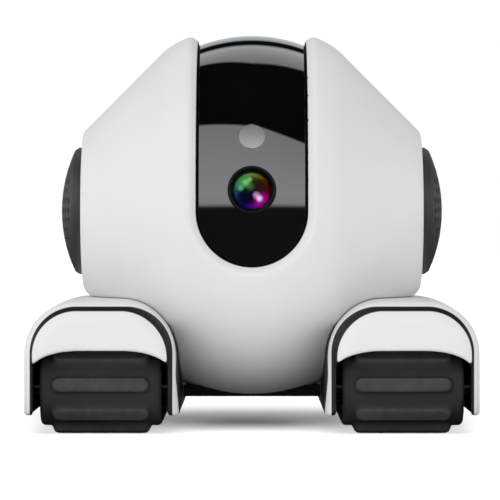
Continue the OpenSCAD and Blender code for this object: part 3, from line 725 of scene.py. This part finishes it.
flat_dome = [(48.0 * math.sin(a), 14.9 + 48.0 * math.cos(a)) for a in np.linspace(0, math.asin(4.3 / 48.0), 12)]
WINDOW = flat_dome + [(4.4, 62.68), (4.47, 62.62), (4.5, 62.5), (4.5, 59.3), (4.45, 59.1), (4.3, 59.0), (3.8, 59.0), (0.0, 59.0)]
finish_piece(lathe("head_window", WINDOW, 72, False, at_el(23.6)), "head", "sensor_window", "window_grey")

BUTTON = [(0.0, 65.25), (1.5, 65.28), (2.6, 65.38), (3.3, 65.52)]
BUTTON += [tuple(p) for p in filleted([(3.3, 65.52), (3.9, 65.68), (4.5, 65.68), (4.5, 60.3), (5.6, 60.3), (5.6, 58.8), (1.5, 58.8), (1.5, 56.1), (0.0, 56.1)],
                                      [0, 0.3, 0.5, 0.05, 0.25, 0.25, 0.05, 0.25, 0])[1:]]
place = Matrix.Translation((0, 0, 66 * MM)) @ Matrix.Rotation(-math.pi / 2, 4, "X")
finish_piece(lathe("rear_button", BUTTON, 72, False, place), "button", "power_button", "shell_white")

for part in frame["record"]["subparts"]:
    ob = nodes[part["node"]]
    if not ob.hide_render:
        ob.data.materials.clear()
        dark = part["node"].startswith(("idler_axle", "roller_pins", "motor_shaft", "drive_motor"))
        look = "bezel_black" if part["node"] == "belly_pan" else part["material_slot"]
        ob.data.materials.append(M["axle_steel" if dark else look])


# ---------------------------------------------------------------- stage, light and camera

def floor_material():
    """A pale floor that sends less light back up than it shows, least from under the object."""
    mat, nt, bsdf = shader("studio_floor")
    mix = node(nt, "ShaderNodeMix", data_type="RGBA", blend_type="MIX")
    nt.links.new(node(nt, "ShaderNodeLightPath").outputs["Is Diffuse Ray"], mix.inputs["Factor"])
    nt.links.new(ramp(nt, noise(nt, 3.0, 2.0), [(0.3, grey(0.36)), (0.7, grey(0.37))]), mix.inputs["A"])
    xyz = node(nt, "ShaderNodeSeparateXYZ")
    nt.links.new(node(nt, "ShaderNodeTexCoord").outputs["Object"], xyz.inputs[0])

    def step(op, a, b=0.0):
        n = node(nt, "ShaderNodeMath", operation=op)
        for i, v in enumerate((a, b)):
            if isinstance(v, float):
                n.inputs[i].default_value = v
            else:
                nt.links.new(v, n.inputs[i])
        return n.outputs[0]

    across, along = step("ABSOLUTE", xyz.outputs["X"]), step("ABSOLUTE", xyz.outputs["Y"])
    tracks = step("MULTIPLY", step("MINIMUM", across, 0.06), 0.4)
    away = step("MAXIMUM", step("SUBTRACT", along, tracks), step("SUBTRACT", across, 0.04))
    near = span(nt, away, 0.0, 0.2, 0.0, 1.0)
    nt.links.new(ramp(nt, near, [(0.2, grey(0.01)), (0.27, grey(0.10)), (0.33, grey(0.28)), (0.40, grey(0.34)), (0.60, grey(0.31)), (0.80, grey(0.25)), (1.0, grey(0.20))]), mix.inputs["B"])
    nt.links.new(mix.outputs["Result"], bsdf.inputs["Base Color"])
    bsdf.inputs["Roughness"].default_value = 0.9
    bsdf.inputs["Specular IOR Level"].default_value = 0.0
    bsdf.inputs["Emission Color"].default_value = (1.0, 1.0, 1.0, 1.0)
    bsdf.inputs["Emission Strength"].default_value = 0.045
    return mat


me = bpy.data.meshes.new("studio_floor")
me.from_pydata([(-6, -6, 0), (6, -6, 0), (6, 6, 0), (-6, 6, 0)], [], [(0, 1, 2, 3)])
floor = bpy.data.objects.new("studio_floor", me)
scene.collection.objects.link(floor)
floor.data.materials.append(floor_material())
floor.visible_glossy = False


def studio_world():
    """White studio: the camera sees white, matt surfaces an even soft light that is stronger from the left, and gloss
    sees soft bands of light one above the other."""
    world = bpy.data.worlds.new("studio")
    scene.world = world
    world.use_nodes = True
    nt = world.node_tree
    nt.nodes.clear()
    out = node(nt, "ShaderNodeOutputWorld")
    path = node(nt, "ShaderNodeLightPath")
    way = node(nt, "ShaderNodeTexCoord").outputs["Generated"]
    xyz = node(nt, "ShaderNodeSeparateXYZ")
    nt.links.new(way, xyz.inputs[0])

    def math_node(op, a, b=None):
        n = node(nt, "ShaderNodeMath", operation=op)
        for i, v in enumerate((a, b)):
            if v is None:
                continue
            if isinstance(v, (int, float)):
                n.inputs[i].default_value = v
            else:
                nt.links.new(v, n.inputs[i])
        return n.outputs[0]

    # bands that lie level on a drum about X, seen from the front: 0 at the horizon in front, 1 at the one behind
    half = math_node("ARCTAN2", xyz.outputs["Z"], math_node("SUBTRACT", 1.0, xyz.outputs["Y"]))
    deg = math_node("MULTIPLY", half, 180.0 / math.pi)
    right = math_node("MULTIPLY", math_node("MAXIMUM", math_node("SUBTRACT", xyz.outputs["X"], 0.06), 0.0), 9.0)
    right = math_node("MULTIPLY", right, span(nt, deg, 40.0, 52.0, 1.0, 0.0))
    left = math_node("MULTIPLY", math_node("MINIMUM", xyz.outputs["X"], 0.0), span(nt, deg, 28.0, 57.0, 3.1, 10.7))
    left = math_node("MULTIPLY", left, span(nt, deg, 60.0, 68.0, 1.0, 0.0))
    lean = math_node("MULTIPLY", math_node("ADD", right, left), span(nt, deg, 4.0, 18.0, 0.0, 1.0))
    share = span(nt, math_node("ADD", deg, lean), 0.0, 90.0, 0.0, 1.0)
    bands = ramp(nt, share, [
        (0.000, grey(0.018)), (0.010, grey(0.05)), (0.024, grey(0.92, 0.02)), (0.06, grey(1.0, 0.03)), (0.16, grey(0.92, 0.04)),
        (0.308, grey(0.75, 0.02)), (0.316, grey(0.003)), (0.618, grey(0.003)), (0.632, grey(0.50, 0.01)),
        (0.76, grey(0.66, 0.01)), (0.785, grey(0.003)), (0.83, grey(0.003)), (0.85, grey(0.42, 0.06)), (1.0, grey(0.50, 0.06)),
    ])
    gloss = node(nt, "ShaderNodeBackground")
    nt.links.new(bands, gloss.inputs["Color"])
    gloss.inputs["Strength"].default_value = 1.3

    high = span(nt, math_node("ARCSINE", xyz.outputs["Z"]), -math.pi / 2, math.pi / 2, 0.0, 1.0)
    dome = ramp(nt, high, [
        (0.5, grey(0.80)), (0.583, grey(0.82)), (0.639, grey(0.83)), (0.694, grey(0.80)), (0.75, grey(0.72)), (0.806, grey(0.65)),
        (0.90, grey(0.66)), (1.0, grey(0.66)),
    ])
    matt = node(nt, "ShaderNodeBackground")
    nt.links.new(dome, matt.inputs["Color"])
    ahead = span(nt, xyz.outputs["Z"], 0.0, 0.4, -0.70, -0.45)
    aside = span(nt, xyz.outputs["Z"], 0.0, 0.4, -0.40, -0.28)
    tilt = math_node("ADD", math_node("MULTIPLY", xyz.outputs["Y"], ahead), math_node("MULTIPLY", xyz.outputs["X"], aside))
    tilt = math_node("ADD", tilt, 1.25)
    nt.links.new(tilt, matt.inputs["Strength"])

    seen = node(nt, "ShaderNodeBackground")
    seen.inputs["Color"].default_value = (1.0, 1.0, 1.0, 1.0)
    seen.inputs["Strength"].default_value = 1.0

    m1, m2 = node(nt, "ShaderNodeMixShader"), node(nt, "ShaderNodeMixShader")
    nt.links.new(path.outputs["Is Glossy Ray"], m1.inputs[0])
    nt.links.new(matt.outputs[0], m1.inputs[1])
    nt.links.new(gloss.outputs[0], m1.inputs[2])
    nt.links.new(path.outputs["Is Camera Ray"], m2.inputs[0])
    nt.links.new(m1.outputs[0], m2.inputs[1])
    nt.links.new(seen.outputs[0], m2.inputs[2])
    nt.links.new(m2.outputs[0], out.inputs["Surface"])


studio_world()


# a wide soft light from overhead for the floor alone
sky = bpy.data.lights.new("over_floor", "SUN")
sky.energy = 15.5
sky.angle = math.radians(95)
lamp = bpy.data.objects.new("over_floor", sky)
scene.collection.objects.link(lamp)
lamp.location = (0, 0, 1)
lamp.rotation_euler = (math.radians(60), math.radians(5), 0)
reach = bpy.data.collections.new("floor_light")
reach.objects.link(floor)
lamp.light_linking.receiver_collection = reach
shade = bpy.data.collections.new("floor_shade")
for ob in (nodes["belly_pan"], bpy.data.objects["casing_front"], bpy.data.objects["casing_rear"]):
    shade.objects.link(ob)
lamp.light_linking.blocker_collection = shade

cam = bpy.data.cameras.new("camera")
cam.sensor_width = 36.0
cam.lens = 237.6
cam.clip_start, cam.clip_end = 0.05, 50.0
eye = bpy.data.objects.new("camera", cam)
scene.collection.objects.link(eye)
eye.location = (0.0, -1.188, 0.0694)
eye.rotation_mode = "XYZ"
eye.rotation_euler = (math.pi / 2 - math.atan(18.0 / 3300.0), 0.0, math.atan(1.9 / 3300.0))
scene.camera = eye
scene.view_settings.view_transform = "Standard"

bpy.context.view_layer.update()
